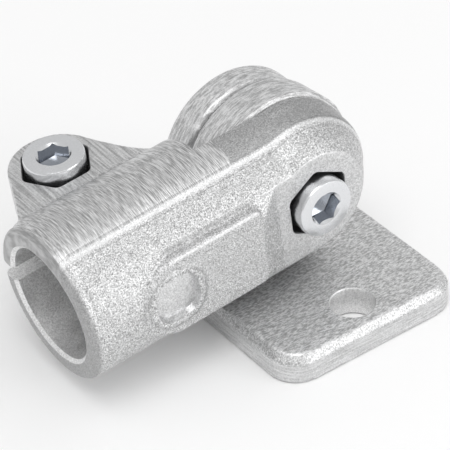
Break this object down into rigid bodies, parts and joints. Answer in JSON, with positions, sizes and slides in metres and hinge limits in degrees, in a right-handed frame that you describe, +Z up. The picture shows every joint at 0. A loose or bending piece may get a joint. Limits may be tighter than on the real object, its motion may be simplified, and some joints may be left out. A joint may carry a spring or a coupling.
{
  "type": "stanchion base",
  "caption": "Cast swivel foot with a split clamp socket for a round stanchion tube, hinged on a socket screw over a flat drilled base plate.",
  "frame": {"origin": "centre of the flat underside of the base plate", "axes": "+Z up off the plate, hinge axis along Y through (0, y, 26.15 mm), the clamp arm points to -X at rest, the pivot screw head faces -Y"},
  "size_m": [0.0817, 0.065, 0.0446],
  "materials": {
    "cast_aluminium": "shot-blasted casting with linished crown",
    "zinc_plated_steel": "bright zinc plate"
  },
  "bodies": {
    "base": {"base": "cast_aluminium"},
    "arm": {"arm": "cast_aluminium"},
    "pivot_screw": {"pivot_screw": "zinc_plated_steel"},
    "pivot_nut": {"pivot_nut": "zinc_plated_steel"},
    "clamp_screw": {"clamp_screw": "zinc_plated_steel"},
    "clamp_nut": {"clamp_nut": "zinc_plated_steel"}
  },
  "joints": [
    {"name": "arm_swing", "type": "hinge", "parent": "base", "child": "arm", "pos_m": [0, 0, 0.02615], "axis": [0, 1, 0], "range_deg": [0, 190]},
    {"name": "pivot_screw_turn", "type": "hinge", "parent": "base", "child": "pivot_screw", "pos_m": [0, 0, 0.02615], "axis": [0, -1, 0], "range_deg": [0, 720]},
    {"name": "pivot_nut_travel", "type": "slide", "parent": "base", "child": "pivot_nut", "axis": [0, 1, 0], "range_m": [0, 0.0025]},
    {"name": "clamp_screw_turn", "type": "hinge", "parent": "arm", "child": "clamp_screw", "pos_m": [-0.03843, 0.023, 0.02252], "axis": [-0.0941, 0, 0.9956], "range_deg": [0, 720]},
    {"name": "clamp_nut_travel", "type": "slide", "parent": "arm", "child": "clamp_nut", "axis": [0.0941, 0, -0.9956], "range_m": [0, 0.0025]}
  ],
  "couplings": [
    {"joint": "pivot_nut_travel", "follows": "pivot_screw_turn", "m_per_rad": 0.00019894},
    {"joint": "clamp_nut_travel", "follows": "clamp_screw_turn", "m_per_rad": 0.00019894}
  ]
}
